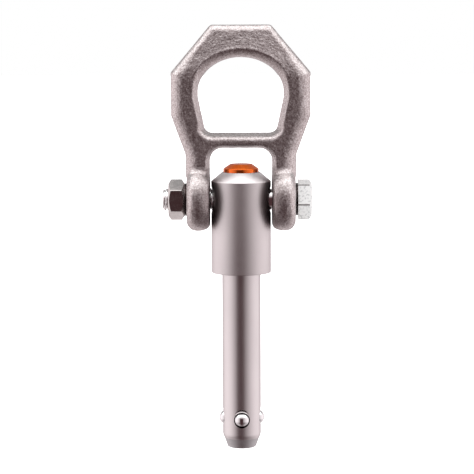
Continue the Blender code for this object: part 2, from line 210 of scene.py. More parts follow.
EYE_HALF_WIDTH = 22.1
EYE_WIDEST = 18.2  # below the eye's crown
EYE_KINK = 20.2
EYE_FOOT = 38.8
EYE_FOOT_HALF = 18.2
EYE_FOOT_ROUND = 4.2
EYE_DRAFT = 0.385  # widening of the eye per mm away from mid-thickness
EYE_EDGE = 0.5  # rounding of the eye's rim, larger at the crossbar
EYE_FOOT_EDGE = 2.0
EYE_FOOT_LEVELS = (33, 38)  # below the eye's crown, where that rounding grows
CROWN_LEVELS = (-16, -3)  # heights between which the eye's wall turns into a nose
NOSE_RADIAL = 7.6  # half axes of the rounded edge along the eye's crown
NOSE_DEEP = 7.6
NOSE_DEEPEST = 0.97  # share of the nose's depth past which it goes no further
NOSE_WIDTH = 4.1  # of that edge, seen from the front
LIP_HEIGHT = 0.16  # ridge where the face meets that edge
LIP_OFFSET = 0.2
LIP_HALF_WIDTH = 0.8
CROWN_LEAN = 0.26  # slope of the faces away from the eye, above its widest level
LEAN_LEVELS = (-14, 2)
LEAN_REACH = 15
PARTING_HEIGHT = 0.12  # raised line at mid-thickness, where the dies met
PARTING_HALF_WIDTH = 0.45
MIDDLE_ROUND = 0.5  # rounding of a drafted wall's ridge at mid-thickness
FORK_TOP = 26.7  # above the bolt's axis
FORK_HALF = 16.05
FORK_ROUND = 6.5
FORK_DRAFT = 0.25
FORK_EDGE = 0.9
RING_TOP_HALF = 15.45
RING_SHOULDER = 24.6  # below the ring's top
RING_HIP = 46.5
WAIST = 67.1
CORNER_ROUND = 2.6
WAIST_ROUND = 9.0
RING_HALF_THICKNESS = 6.75
ARM_HALF = 28.55
EAR_INNER_X = 16.0
EAR_OUTER_X = 28.4
EAR_BORE_RADIUS = 6.3
EDGE_ROUND = 7.2  # outer rounding across the face, narrower along the top bar
TOP_EDGE_ROUND = 3.3
TOP_EDGE_LEVELS = (-14, 6)
EDGE_DEPTH = 0.8  # outer rounding through the thickness, as a share of half of it
EAR_CROWN = 2.1  # drop of the ear's rim from its middle to its sides
EAR_OUTER_ROUND = 3.2
EAR_INNER_ROUND = 1.8
EAR_FILLET = 4.0  # between the arms' faces and the ears, less where they run on
SPOT_FACE_RADIUS = 11.6
NUT_SPOT_X = 27.35
HEAD_SPOT_X = 27.77
BORE_EDGE = 0.25
PAST_ARMS = 6.0  # below the bolt's axis, where the arms' outline ends in the ears
PAST_EARS = 40.0  # below the bolt's axis, where the fork's outline ends
SKIN_DEPTH = 0.07  # unevenness of the forging's skin
SKIN_WAVELENGTH = 5.0
SKIN_SINK = 0.5  # of that depth, by which the whole skin lies lower
FINER = 2.3  # how much finer the noise's second layer is
CURVE_STEPS = 10
OUTSIDE = 1e9  # more than any squared distance on the grid


def distance_to_outline(x, z, outline):
    """Signed distance in a plane to a closed outline, negative inside."""
    squared = np.full(x.shape, OUTSIDE)
    inside = np.zeros(x.shape, bool)
    for (ax, az), (bx, bz) in zip(outline, outline[1:] + outline[:1]):
        ex, ez = bx - ax, bz - az
        share = np.clip(((x - ax) * ex + (z - az) * ez) / (ex * ex + ez * ez), 0, 1)
        squared = np.minimum(squared, (x - ax - ex * share) ** 2 + (z - az - ez * share) ** 2)
        if ez != 0:
            inside ^= ((z < az) != (z < bz)) & (x < ax + ex * (z - az) / ez)
    return np.where(inside, -1, 1) * np.sqrt(squared)


def both(a, b, radius):
    """Intersection of two distance fields, its outer edge rounded."""
    corner = np.hypot(np.maximum(a + radius, 0), np.maximum(b + radius, 0))
    return np.minimum(np.maximum(a, b), -radius) + corner


def either(a, b, radius):
    """Union of two distance fields, the inner edge between them filled to a radius.

    Where the two surfaces run alongside each other there is no edge, and nothing is filled.
    """
    alongside = sum(u * v for u, v in zip(np.gradient(a), np.gradient(b)))
    length = np.sqrt(sum(u * u for u in np.gradient(a)) * sum(v * v for v in np.gradient(b)))
    fill = radius * np.clip(1 - alongside / np.maximum(length, 1 / OUTSIDE), 0, 1)
    corner = np.hypot(np.maximum(fill - a, 0), np.maximum(fill - b, 0))
    return np.maximum(np.minimum(a, b), fill) - corner


def rising(value, low, high):
    """A smooth step from 0 to 1."""
    t = np.clip((value - low) / (high - low), 0, 1)
    return t * t * (3 - 2 * t)


def surface_net(field, start, cell):
    """Vertices and quads on the zero surface of a field sampled on a cubic grid."""
    inside = field < 0
    shape = np.array(field.shape) - 1
    corners = [(i, j, k) for i in (0, 1) for j in (0, 1) for k in (0, 1)]

    def part(values, corner):
        return values[tuple(slice(c, c + n) for c, n in zip(corner, shape))]

    count = sum(part(inside, c).astype(np.int8) for c in corners)
    cells = np.argwhere((count > 0) & (count < 8))
    index = np.full(shape, -1, np.int64)
    index[tuple(cells.T)] = np.arange(len(cells))
    total, hits = np.zeros((len(cells), 3)), np.zeros(len(cells))
    for axis in range(3):
        step = np.eye(3, dtype=int)[axis]
        for corner in (c for c in corners if c[axis] == 0):
            near = field[tuple((cells + corner).T)]
            far = field[tuple((cells + corner + step).T)]
            crossed = (near < 0) != (far < 0)
            share = near[crossed] / (near[crossed] - far[crossed])
            total[crossed] += np.array(corner) + share[:, None] * step
            hits[crossed] += 1
    verts = np.array(start) + cell * (cells + total / hits[:, None])
    quads = []
    for axis in range(3):
        u, v = (axis + 1) % 3, (axis + 2) % 3
        step = np.eye(3, dtype=int)
        low = np.moveaxis(inside, axis, 0)[:-1]
        high = np.moveaxis(inside, axis, 0)[1:]
        edges = np.argwhere(np.moveaxis(low != high, 0, axis))
        edges = edges[(edges[:, u] > 0) & (edges[:, v] > 0)
                      & (edges[:, u] < shape[u]) & (edges[:, v] < shape[v])]
        ring = [index[tuple((edges - du * step[u] - dv * step[v]).T)]
                for du, dv in ((0, 0), (1, 0), (1, 1), (0, 1))]
        faces = np.stack(ring, axis=1)
        flip = ~inside[tuple(edges.T)]
        faces[flip] = faces[flip][:, ::-1]
        quads.append(faces)
    return verts, np.concatenate(quads)


def ring_outline(top):
    """Outside of the ring and its arms, seen from the front."""
    side = span("shackle", 0)[1]
    half = [(RING_TOP_HALF, top, CORNER_ROUND), (side, top - RING_SHOULDER, CORNER_ROUND),
            (side, top - RING_HIP, CORNER_ROUND), (ARM_HALF, top - WAIST, WAIST_ROUND),
            (ARM_HALF, BOLT_Z - PAST_ARMS, 0)]
    return rounded(half + [(-x, z, radius) for x, z, radius in reversed(half)], CURVE_STEPS)


def eye_outline():
    """The eye at mid-thickness: half an ellipse on a tapered foot with round corners."""
    crown = [(EYE_HALF_WIDTH * x, EYE_WIDEST * (z - 1)) for x, z in arc((0, 0), 1, 0, 180, 60)]
    foot = rounded([(-EYE_HALF_WIDTH, -EYE_KINK, 0), (-EYE_FOOT_HALF, -EYE_FOOT, EYE_FOOT_ROUND),
                    (EYE_FOOT_HALF, -EYE_FOOT, EYE_FOOT_ROUND), (EYE_HALF_WIDTH, -EYE_KINK, 0)],
                   CURVE_STEPS)
    return crown + foot


def fork_outline():
    """The opening between the arms, seen from the front."""
    top, foot = BOLT_Z + FORK_TOP, BOLT_Z - PAST_EARS
    return rounded([(-FORK_HALF, top, FORK_ROUND), (FORK_HALF, top, FORK_ROUND),
                    (FORK_HALF, foot, 0), (-FORK_HALF, foot, 0)], CURVE_STEPS)


def shackle_field(x, y, z):
    """Distance field of the shackle on a grid, from outlines, drafted walls and round ears."""
    flat_x, flat_z = np.meshgrid(x, z, indexing="ij")
    foot, top = span("shackle", 2)
    outside, eye, gap = (distance_to_outline(flat_x, flat_z, line)[:, None, :]
                         for line in (ring_outline(top), eye_outline(), fork_outline()))
    off_middle = np.abs(y)[None, :, None]
    soft = np.sqrt(off_middle ** 2 + MIDDLE_ROUND ** 2) - MIDDLE_ROUND

    # the thickness, with the leaning faces and the lip round the eye's crown
    lean = CROWN_LEAN * rising(z, *LEAN_LEVELS)[None, None, :]
    half_thick = RING_HALF_THICKNESS - lean * np.clip(eye - NOSE_WIDTH, 0, LEAN_REACH)
    crown = rising(z, *CROWN_LEVELS)[None, None, :]
    off_lip = (eye - NOSE_WIDTH - LIP_OFFSET) / LIP_HALF_WIDTH
    half_thick = half_thick + LIP_HEIGHT * crown * np.exp(-off_lip ** 2)

    # a broad elliptical rounding outside, and a thin raised parting line on it
    top_share = rising(z, *TOP_EDGE_LEVELS)[None, None, :]
    wide = EDGE_ROUND + (TOP_EDGE_ROUND - EDGE_ROUND) * top_share
    depth = EDGE_DEPTH * half_thick
    across = np.maximum(outside + wide, 0) / wide
    deep = np.maximum(off_middle - half_thick + depth, 0) / depth
    plate = (np.hypot(across, deep) - 1) * np.minimum(wide, depth)
    plate = np.maximum(plate, off_middle - half_thick)
    plate = plate - PARTING_HEIGHT * np.exp(-(off_middle / PARTING_HALF_WIDTH) ** 2)

    # the eye's wall is drafted at its sides and rounded like a nose along its crown
    nose_depth = np.minimum(off_middle / NOSE_DEEP, NOSE_DEEPEST)
    nose = NOSE_RADIAL * (1 - np.sqrt(1 - nose_depth ** 2))
    eye_wall = (1 - crown) * EYE_DRAFT * soft + crown * nose - eye
    fork_wall = FORK_DRAFT * soft - gap
    foot_share = rising(-z, *EYE_FOOT_LEVELS)[None, None, :]
    eye_edge = EYE_EDGE + (EYE_FOOT_EDGE - EYE_EDGE) * foot_share
    plate = both(plate, eye_wall / math.hypot(1, EYE_DRAFT), eye_edge)
    plate = both(plate, fork_wall / math.hypot(1, FORK_DRAFT), FORK_EDGE)

    # round ears with crowned rims, machined spot faces and the bolt's bore
    around = np.hypot(y[:, None], z[None, :] - BOLT_Z)[None, :, :]
    aside = np.abs(x)[:, None, None]
    centre, half = (EAR_INNER_X + EAR_OUTER_X) / 2, (EAR_OUTER_X - EAR_INNER_X) / 2
    rim = around - (BOLT_Z - foot) + EAR_CROWN * ((aside - centre) / half) ** 2
    ears = both(rim, aside - EAR_OUTER_X, EAR_OUTER_ROUND)
    ears = both(ears, EAR_INNER_X - aside, EAR_INNER_ROUND)
    body = either(plate, ears, EAR_FILLET)

    seat = np.where(x < 0, NUT_SPOT_X, HEAD_SPOT_X)[:, None, None]
    spot_face = np.maximum(around - SPOT_FACE_RADIUS, seat - aside)
    body = both(body, -spot_face, BORE_EDGE)
    return both(body, EAR_BORE_RADIUS - around, BORE_EDGE)


def make_shackle(material):
    """The forged shackle, meshed from its distance field and kept inside the CAD's box."""
    cell = 0.4
    lows, highs = zip(*(span("shackle", axis) for axis in range(3)))
    axes = [np.arange(low - 2 * cell, high + 3 * cell, cell) for low, high in zip(lows, highs)]
    field = shackle_field(*axes)
    verts, quads = surface_net(field, [line[0] for line in axes], cell)
    mesh = bpy.data.meshes.new("forged_shackle")
    mesh.from_pydata(verts * MM, [], quads)
    mesh.update()
    roughen(mesh, SKIN_DEPTH, SKIN_WAVELENGTH)
    low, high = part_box("shackle")
    for vertex in mesh.vertices:
        vertex.co = [min(max(c, a), b) for c, a, b in zip(vertex.co, low, high)]
    item = link_mesh("forged_shackle", mesh, 70)
    return piece(item, "shackle", "cast_steel", material, "shackle")


def roughen(mesh, depth, wavelength):
    """Move a mesh's points along their normals by soft noise, as on a forging's skin."""
    normals = [v.normal.copy() for v in mesh.vertices]
    for vertex, normal in zip(mesh.vertices, normals):
        place = vertex.co / (wavelength * MM)
        shift = noise.noise(place) + 0.5 * noise.noise(place * FINER)
        vertex.co += normal * (shift - SKIN_SINK) * depth * MM
    mesh.update()


# ------------------------------ pin

HEAD_SHOULDER = 47.7  # above the head's underside
HEAD_LIP_RADIUS = 9.9
HEAD_BORE_RADIUS = 9.5
HEAD_BORE_FLOOR = 6.0
SHANK_RADIUS = 10.0
TIP_SHOULDER = 7.8  # above the tip, where the rounded shoulder of the shank starts
TIP_SHOULDER_DEPTH = 2.7
PILOT_RADIUS = 9.2  # short taper under the shoulder
TIP_RADIUS = 7.35
SHANK_BORE_RADIUS = 4.0
BORE_BELOW_BALLS = 11.7
CROSS_BORE_RADIUS = 6.2
CROSS_BORE_MOUTH_RADIUS = 6.8
BALL_HOLE_RADIUS = 4.15
STAKE_INNER = 4.0  # groove punched above each ball hole, which closes its rim
STAKE_ROOT = 5.1
STAKE_OUTER = 5.6
STAKE_DEPTH = 0.66
STAKE_HALF_SWEEP = 58  # degrees
STAKE_END_SHARE = 0.3  # of its width, left at the groove's ends
STAKE_CLEAR = 0.03  # by which the punch's rim stands off the shank
STAKE_ROWS = 24
CUTTER_REACH = 2.0  # by which a cutter runs past the surface


def make_pin_body(material):
    """The turned pin with its blind bore, flared cross bore, ball holes and staked grooves."""
    tip, lip = span("pin_body", 2)
    head = span("pin_body", 0)[1]
    balls = middle("lock_ball_front").z
    inset = SHANK_RADIUS - PILOT_RADIUS
    bend = (inset ** 2 + TIP_SHOULDER_DEPTH ** 2) / (2 * inset)
    sweep = math.degrees(math.asin(TIP_SHOULDER_DEPTH / bend))
    shoulder = arc((SHANK_RADIUS - bend, tip + TIP_SHOULDER), bend, -sweep, 0, 10)
    profile = rounded([
        (0, tip, 0), (TIP_RADIUS, tip, 0.9)] + [(r, z, 0) for r, z in shoulder] + [
        (SHANK_RADIUS, UNDERSIDE_Z, 0.3), (head, UNDERSIDE_Z, 0.4),
        (head, UNDERSIDE_Z + HEAD_SHOULDER, 0.3), (HEAD_LIP_RADIUS, lip, 0.15),
        (HEAD_BORE_RADIUS, lip, 0.15), (HEAD_BORE_RADIUS, UNDERSIDE_Z + HEAD_BORE_FLOOR, 0),
        (SHANK_BORE_RADIUS, UNDERSIDE_Z + HEAD_BORE_FLOOR, 0),
        (SHANK_BORE_RADIUS, balls - BORE_BELOW_BALLS, 0), (0, balls - BORE_BELOW_BALLS, 0)],
        4, closed=False)
    # extra rings keep the cuts for the bores local
    marks = [BOLT_Z - 9, BOLT_Z + 9, balls - 6, balls + 6]
    body = finish_mesh("turned_pin", spun(with_marks(profile, marks), FINE_SIDES))

    mouth, flare_depth = head + 1.0, 3.0
    wide = 2 * CROSS_BORE_MOUTH_RADIUS - CROSS_BORE_RADIUS
    cross = [(0, -mouth), (wide, -mouth), (CROSS_BORE_RADIUS, flare_depth - mouth),
             (CROSS_BORE_RADIUS, mouth - flare_depth), (wide, mouth), (0, mouth)]
    cutters = [finish_mesh("cross_bore", moved(spun(cross, SIDES), ON_BOLT, ALONG_X))]
    reach = SHANK_RADIUS + CUTTER_REACH
    drill = [(0, -reach), (BALL_HOLE_RADIUS, -reach), (BALL_HOLE_RADIUS, reach), (0, reach)]
    for turn in range(0, 360, 90):
        direction = Matrix.Rotation(math.radians(turn), 3, "Z") @ ALONG_X
        cutters.append(finish_mesh("stake", moved(punch(), (0, 0, balls), direction)))
        if turn < 180:
            cutters.append(finish_mesh("drill", moved(spun(drill, SIDES), (0, 0, balls), direction)))
    combined(body, "DIFFERENCE", *cutters)
    return piece(body, "pin", "turned_steel", material, "pin_body")


def punch():
    """A curved wedge beside a hole round Z at the shank's height, fading out at its ends."""
    shape = bmesh.new()
    rows = []
    for i in range(STAKE_ROWS):
        share = 2 * i / (STAKE_ROWS - 1) - 1
        angle = math.radians(180 + STAKE_HALF_SWEEP * share)
        fade = 1 - share ** 2
        width = STAKE_END_SHARE + (1 - STAKE_END_SHARE) * fade
        radii = [STAKE_INNER + (r - STAKE_INNER) * width
                 for r in (STAKE_INNER, STAKE_ROOT, STAKE_OUTER)]
        rims = [math.sqrt(SHANK_RADIUS ** 2 - (r * math.sin(angle)) ** 2) + STAKE_CLEAR
                for r in radii]
        rims[1] -= STAKE_DEPTH * fade
        section = list(zip(radii, rims)) + [(radii[2], SHANK_RADIUS + CUTTER_REACH / 2),
                                            (STAKE_INNER, SHANK_RADIUS + CUTTER_REACH / 2)]
        rows.append([shape.verts.new((r * math.cos(angle), r * math.sin(angle), z))
                     for r, z in section])
    return skinned(shape, rows)


def with_marks(profile, heights):
    """The profile with a point added wherever its long upright stretches pass a height."""
    points = []
    for (ra, za), (rb, zb) in zip(profile, profile[1:]):
        points.append((ra, za))
        crossed = [h for h in heights if min(za, zb) < h < max(za, zb) and abs(ra - rb) < TINY]
        points += [(ra, h) for h in sorted(crossed, reverse=zb < za)]
    return points + [profile[-1]]


def make_balls(material):
    """The four locking balls, each on a body of its own."""
    for node in BALL_NODES:
        shape = bmesh.new()
        low, high = span(node, 2)
        bmesh.ops.create_icosphere(shape, subdivisions=5, radius=(high - low) / 2)
        name = node.replace("lock_ball", "locking_ball")
        ball = finish_mesh(name, moved(shape, middle(node)), 80)
        piece(ball, node.replace("lock_", ""), "ball_steel", material, node)


# ------------------------------ button, spindle and spring

BUTTON_SIDES = 160
BUTTON_TOP_RADIUS = 5.6
BUTTON_CONE_DROP = 2.4
BUTTON_SLOT_HALF_WIDTH = 6.3
SOCKET_DEPTH = 3.5
SOCKET_RADIUS = 3.1
BUTTON_SLOT_LENGTH = 40  # of the cutter, longer than the button is wide
LAND_RADIUS = 3.72  # of the spindle, where it holds the balls out
NECK_RADIUS = 1.8  # where it lets them in
STEM_RADIUS = 2.8
LAND_TOP = -0.85  # these are heights above the balls' level
NECK_FOOT = 3.19
NECK_TOP = 5.5
GUIDE_FOOT = 8.2
GUIDE_TOP = 14.0
STEM_FOOT = 15.0
WIRE_RADIUS = 0.7
SPRING_TURNS = 6
SPRING_END_TURNS = 0.75  # at each end, where the coils lie flat
COIL_GAP = 0.05


def make_button(material):
    """The push button: a cone on a skirt, with a slot for the bolt and a socket for the spindle."""
    foot, top = span("push_button", 2)
    radius = span("push_button", 0)[1]
    profile = rounded([
        (0, foot + SOCKET_DEPTH, 0), (SOCKET_RADIUS, foot + SOCKET_DEPTH, 0),
        (SOCKET_RADIUS, foot, 0.2), (radius, foot, 0.4), (radius, top - BUTTON_CONE_DROP, 0.5),
        (BUTTON_TOP_RADIUS, top, 0.6), (0, top, 0)], 5, closed=False)
    button = finish_mesh("orange_button", spun(profile, BUTTON_SIDES))
    slot = bmesh.new()
    bmesh.ops.create_cube(slot, size=1.0)
    low, high = -BOLT_SHANK_RADIUS - GAP, BOLT_SHANK_RADIUS + BUTTON_TRAVEL + GAP
    bmesh.ops.scale(slot, verts=slot.verts,
                    vec=(BUTTON_SLOT_LENGTH, 2 * BUTTON_SLOT_HALF_WIDTH, high - low))
    cutter = finish_mesh("slot", moved(slot, (0, 0, BOLT_Z + (low + high) / 2)))
    combined(button, "DIFFERENCE", cutter)
    button.visible_glossy = False
    return piece(button, "release", "orange_anodised", material, "push_button")


def make_spindle(material):
    """The release spindle with its land, ramp, neck and guide, its edges broken."""
    foot, top = span("release_spindle", 2)
    balls = middle("lock_ball_front").z
    guide = span("release_spindle", 0)[1]
    profile = rounded([
        (0, foot, 0), (LAND_RADIUS, foot, 0.5), (LAND_RADIUS, balls + LAND_TOP, 0.2),
        (NECK_RADIUS, balls + NECK_FOOT, 0.3), (NECK_RADIUS, balls + NECK_TOP, 0.3),
        (guide, balls + GUIDE_FOOT, 0.2), (guide, balls + GUIDE_TOP, 0.3),
        (STEM_RADIUS, balls + STEM_FOOT, 0.3), (STEM_RADIUS, top, 0.4), (0, top, 0)],
        4, closed=False)
    spindle = finish_mesh("neck_spindle", spun(profile, SIDES))
    return piece(spindle, "release", "spindle_steel", material, "release_spindle")


def make_spring(material):
    """Round wire wound on a helix, with flat-lying end coils."""
    low, high = span("return_spring", 2)
    wire, turns, end_turns = WIRE_RADIUS, SPRING_TURNS, SPRING_END_TURNS
    radius = span("return_spring", 0)[1] - wire
    closed = 2 * wire + COIL_GAP
    open_rise = high - low - 2 * wire - 2 * closed * end_turns
    steps, sides = turns * 64, 20
    shape = bmesh.new()
    rings = []
    for i in range(steps + 1):
        turn = turns * i / steps
        rise = min(max((turn - end_turns) / (turns - 2 * end_turns), 0), 1)
        lift = closed * (min(turn, end_turns) + max(turn - turns + end_turns, 0))
        z = low + wire + lift + open_rise * rise
        out = Vector((math.cos(math.tau * turn), math.sin(math.tau * turn), 0))
        rings.append([shape.verts.new(out * (radius + wire * math.cos(math.tau * k / sides))
                                      + Vector((0, 0, z + wire * math.sin(math.tau * k / sides))))
                      for k in range(sides)])
    coil = finish_mesh("coil_spring", skinned(shape, rings), 50)
    spring = piece(coil, "pin", "spring_wire", material, "return_spring")
    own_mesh(spring)
    return spring


# ------------------------------ bolt and nut

BOLT_SHANK_RADIUS = 5.43
THREAD_PITCH = 1.75
THREAD_RADIUS = 5.95
THREAD_DEPTH = 1.05
THREAD_ROOT_SHARE = 0.12  # of the pitch, and next the share that both flanks take
THREAD_FLANK_SHARE = 0.72
THREAD_START_X = -15.0  # where the thread begins to run out into the plain shank
THREAD_RUNOUT = 2.0
THREAD_STEPS = 14  # per pitch
LEAD_DEPTH = 1.35  # taper at the bolt's end
LEAD_SLOPE = 1.1
HEX_ACROSS_FLATS = 18.6
HEX_CORNER_RADIUS = 10.65
HEX_END_RADIUS = 8.4
HEX_CHAMFER_SLOPE = 0.62
BOLT_HEAD_X = 29.5
WASHER_FACE_RADIUS = 8.45
WASHER_FACE_X = 28.07
NUT_WASHER_FACE = 1.7  # height of the round face under the nut
HEX_EDGE_BREAK = 0.4
COUNTERSINK = 0.8
NUT_FLAT_LEAN = 1.4  # degrees by which the foremost flat leans up from the front
BOLT_HEAD_FLAT_LEAN = 19.0


def hexagon(name, low, high, flat_lean, both_ends):
    """A hexagon prism along X, turned to a chamfer at its high end or at both ends."""
    shape = bmesh.new()
    radius = HEX_ACROSS_FLATS / math.sqrt(3)
    bmesh.ops.create_cone(shape, cap_ends=True, segments=6, depth=high - low,
                          radius1=radius, radius2=radius)
    bmesh.ops.translate(shape, vec=(0, 0, (low + high) / 2), verts=shape.verts)
    upright = [e for e in shape.edges if abs(e.verts[0].co.z - e.verts[1].co.z) > 1]
    bmesh.ops.bevel(shape, geom=upright, offset=HEX_EDGE_BREAK, segments=4,
                    affect="EDGES", profile=0.5)
    turn = Matrix.Rotation(math.radians(30 - flat_lean), 3, "Z")
    bmesh.ops.rotate(shape, matrix=turn, verts=shape.verts)
    item = finish_mesh(name, moved(shape, ON_BOLT, ALONG_X))
    drop = (HEX_CORNER_RADIUS - HEX_END_RADIUS) * HEX_CHAMFER_SLOPE
    start = [(HEX_CORNER_RADIUS, low, 0)]
    if both_ends:
        start = [(HEX_END_RADIUS, low, 0.2), (HEX_CORNER_RADIUS, low + drop, 0.25)]
    end = [(HEX_CORNER_RADIUS, high - drop, 0.25), (HEX_END_RADIUS, high, 0.2)]
    profile = rounded([(0, low, 0)] + start + end + [(0, high, 0)], 4, closed=False)
    turning = finish_mesh("turning", moved(spun(profile, FINE_SIDES), ON_BOLT, ALONG_X))
    return combined(item, "INTERSECT", turning)


def thread_radius(along, turn):
    """Radius of the thread at a place along the bolt and a share of a turn round it."""
    phase = (along / THREAD_PITCH + turn) % 1.0
    flank = 1 - abs(2 * phase - 1)
    rise = min(max((flank - THREAD_ROOT_SHARE) / THREAD_FLANK_SHARE, 0), 1)
    return THREAD_RADIUS - THREAD_DEPTH + THREAD_DEPTH * rise


def bolt_radius(along, turn, end):
    """Radius of the bolt from its end on: a tapered lead, the thread and the plain shank."""
    radius = min(thread_radius(along, turn),
                 THREAD_RADIUS - LEAD_DEPTH + (along - end) * LEAD_SLOPE)
    fade = min(max((along - THREAD_START_X) / THREAD_RUNOUT, 0), 1)
    return radius + (BOLT_SHANK_RADIUS - radius) * fade


def make_bolt(material):
    """The bolt: a helical thread, the plain shank, a washer face and a hexagon head."""
    end, head_top = span("shackle_bolt", 0)
    segments, step = SIDES, THREAD_PITCH / THREAD_STEPS
    shape = bmesh.new()
    count = int((THREAD_START_X + THREAD_RUNOUT - end) / step) + 1
    stations = [end + step * i for i in range(count)]
    rings = [ring_of(shape, [bolt_radius(along, k / segments, end) for k in range(segments)], along)
             for along in stations]
    rest = rounded([(BOLT_SHANK_RADIUS, stations[-1], 0), (BOLT_SHANK_RADIUS, WASHER_FACE_X, 0.3),
                    (WASHER_FACE_RADIUS, WASHER_FACE_X, 0.15),
                    (WASHER_FACE_RADIUS, BOLT_HEAD_X + 1.0, 0), (0, BOLT_HEAD_X + 1.0, 0)],
                   4, closed=False)
    rings += [ring_of(shape, [radius] * segments, along) for radius, along in rest[1:-1]]
    bolt = finish_mesh("hex_bolt", moved(skinned(shape, rings), ON_BOLT, ALONG_X), 40)
    head = hexagon("head", BOLT_HEAD_X, head_top, BOLT_HEAD_FLAT_LEAN, both_ends=False)
    combined(bolt, "UNION", head)
    return piece(bolt, "shackle", "zinc_plate", material, "shackle_bolt")


def make_nut(material):
    """The nut: a hexagon chamfered at both ends, with a washer face and a countersunk bore."""
    low, high = span("lock_nut", 0)
    shoulder = high - NUT_WASHER_FACE
    nut = hexagon("hex_nut", low, shoulder, NUT_FLAT_LEAN, both_ends=True)
    collar = rounded([(0, shoulder - 1, 0), (WASHER_FACE_RADIUS, shoulder - 1, 0),
                      (WASHER_FACE_RADIUS, high, 0.2), (0, high, 0)], 3, closed=False)
    combined(nut, "UNION", finish_mesh("collar", moved(spun(collar, SIDES), ON_BOLT, ALONG_X)))
    bore, wide = THREAD_RADIUS + 0.2, THREAD_RADIUS + 1.2 + COUNTERSINK
    profile = [(0, low - 1), (wide, low - 1), (bore, low + COUNTERSINK),
               (bore, high - COUNTERSINK), (wide, high + 1), (0, high + 1)]
    combined(nut, "DIFFERENCE", finish_mesh("bore", moved(spun(profile, SIDES), ON_BOLT, ALONG_X)))
    return piece(nut, "shackle", "nut_steel", material, "lock_nut")


# ------------------------------ node helpers

def new_material(name, colour, roughness, metallic=1.0):
    """A Principled material; returns it with its node tree and shader."""
    material = bpy.data.materials.new(name)
    material.use_nodes = True
    shader = material.node_tree.nodes["Principled BSDF"]
    shader.inputs["Base Color"].default_value = opaque(colour)
    shader.inputs["Roughness"].default_value = roughness
    shader.inputs["Metallic"].default_value = metallic
    return material, material.node_tree, shader


def opaque(colour):
    """A colour with alpha, from a colour or a grey."""
    return (*colour, 1) if isinstance(colour, tuple) else (colour, colour, colour, 1)


def feed(tree, socket, value):
    """Put a number, a grey, a colour or another node's output on a socket."""
    if isinstance(value, bpy.types.NodeSocket):
        tree.links.new(value, socket)
    else:
        socket.default_value = opaque(value) if socket.type == "RGBA" else value


def add_node(tree, kind, **inputs):
    """A node with its inputs set by name, an underscore standing for a space."""
    node = tree.nodes.new(kind)
    for key, value in inputs.items():
        node.inputs[key.replace("_", " ")].default_value = value
    return node


def split_xyz(tree, vector):
    """The X, Y and Z outputs of a vector."""
    split = tree.nodes.new("ShaderNodeSeparateXYZ")
    tree.links.new(vector, split.inputs["Vector"])
    return split.outputs["X"], split.outputs["Y"], split.outputs["Z"]


def object_xyz(tree):
    """The X, Y and Z outputs of the object coordinates, in metres."""
    return split_xyz(tree, tree.nodes.new("ShaderNodeTexCoord").outputs["Object"])


def calculate(tree, operation, a, b=0.0, c=0.0):
    """The output of a Math node on numbers or outputs."""
    node = tree.nodes.new("ShaderNodeMath")
    node.operation = operation
    for socket, value in zip(node.inputs, (a, b, c)):
        feed(tree, socket, value)
    return node.outputs["Value"]


def times(tree, a, b):
    return calculate(tree, "MULTIPLY", a, b)


def hypotenuse(tree, u, v):
    """Square root of u squared plus v squared."""
    return calculate(tree, "SQRT", calculate(tree, "MULTIPLY_ADD", u, u, times(tree, v, v)))


def smooth_step(tree, value, low, high):
    """A smooth step from 0 at the first end to 1 at the second, whichever is the lower."""
    node = add_node(tree, "ShaderNodeMapRange", From_Min=low, From_Max=high)
    node.interpolation_type = "SMOOTHSTEP"
    tree.links.new(value, node.inputs["Value"])
    return node.outputs["Result"]


def step_mm(tree, length, low, high):
    """A smooth step over a length in metres, its ends in millimetres."""
    return smooth_step(tree, length, low * MM, high * MM)


def step_degrees(tree, angle, low, high):
    """A smooth step over an angle in radians, its ends in degrees."""
    return smooth_step(tree, angle, math.radians(low), math.radians(high))


def blend(tree, factor, a, b, kind="MIX"):
    """Mix two greys, colours or outputs by a factor."""
    mix = tree.nodes.new("ShaderNodeMix")
    mix.data_type, mix.blend_type = "RGBA", kind
    for key, value in (("Factor", factor), ("A", a), ("B", b)):
        feed(tree, mix.inputs[key], value)
    return mix.outputs["Result"]


def ramp(tree, factor, stops):
    """Colours or greys along a factor: stops are (position, colour)."""
    node = tree.nodes.new("ShaderNodeValToRGB")
    elements = node.color_ramp.elements
    while len(elements) < len(stops):
        elements.new(0.5)
    for element, (position, colour) in zip(elements, stops):
        element.position = position
        element.color = opaque(colour)
    tree.links.new(factor, node.inputs["Fac"])
    return node.outputs["Color"]


def noise_at(tree, scale, stretch=(1, 1, 1), detail=3.0, roughness=0.5):
    """Noise in object coordinates, per metre, optionally stretched along an axis."""
    where = tree.nodes.new("ShaderNodeTexCoord").outputs["Object"]
    mapping = add_node(tree, "ShaderNodeMapping", Scale=stretch)
    texture = add_node(tree, "ShaderNodeTexNoise", Scale=scale, Detail=detail, Roughness=roughness)
    tree.links.new(where, mapping.inputs["Vector"])
    tree.links.new(mapping.outputs["Vector"], texture.inputs["Vector"])
    return texture.outputs["Fac"]


def bump(tree, shader, *layers):
    """Stack bumps, each (height output, distance in mm, strength), onto the shader's normal."""
    last = None
    for height, distance, strength in layers:
        node = add_node(tree, "ShaderNodeBump", Strength=strength, Distance=distance * MM)
        tree.links.new(height, node.inputs["Height"])
        if last:
            tree.links.new(last.outputs["Normal"], node.inputs["Normal"])
        last = node
    tree.links.new(last.outputs["Normal"], shader.inputs["Normal"])


# ------------------------------ materials

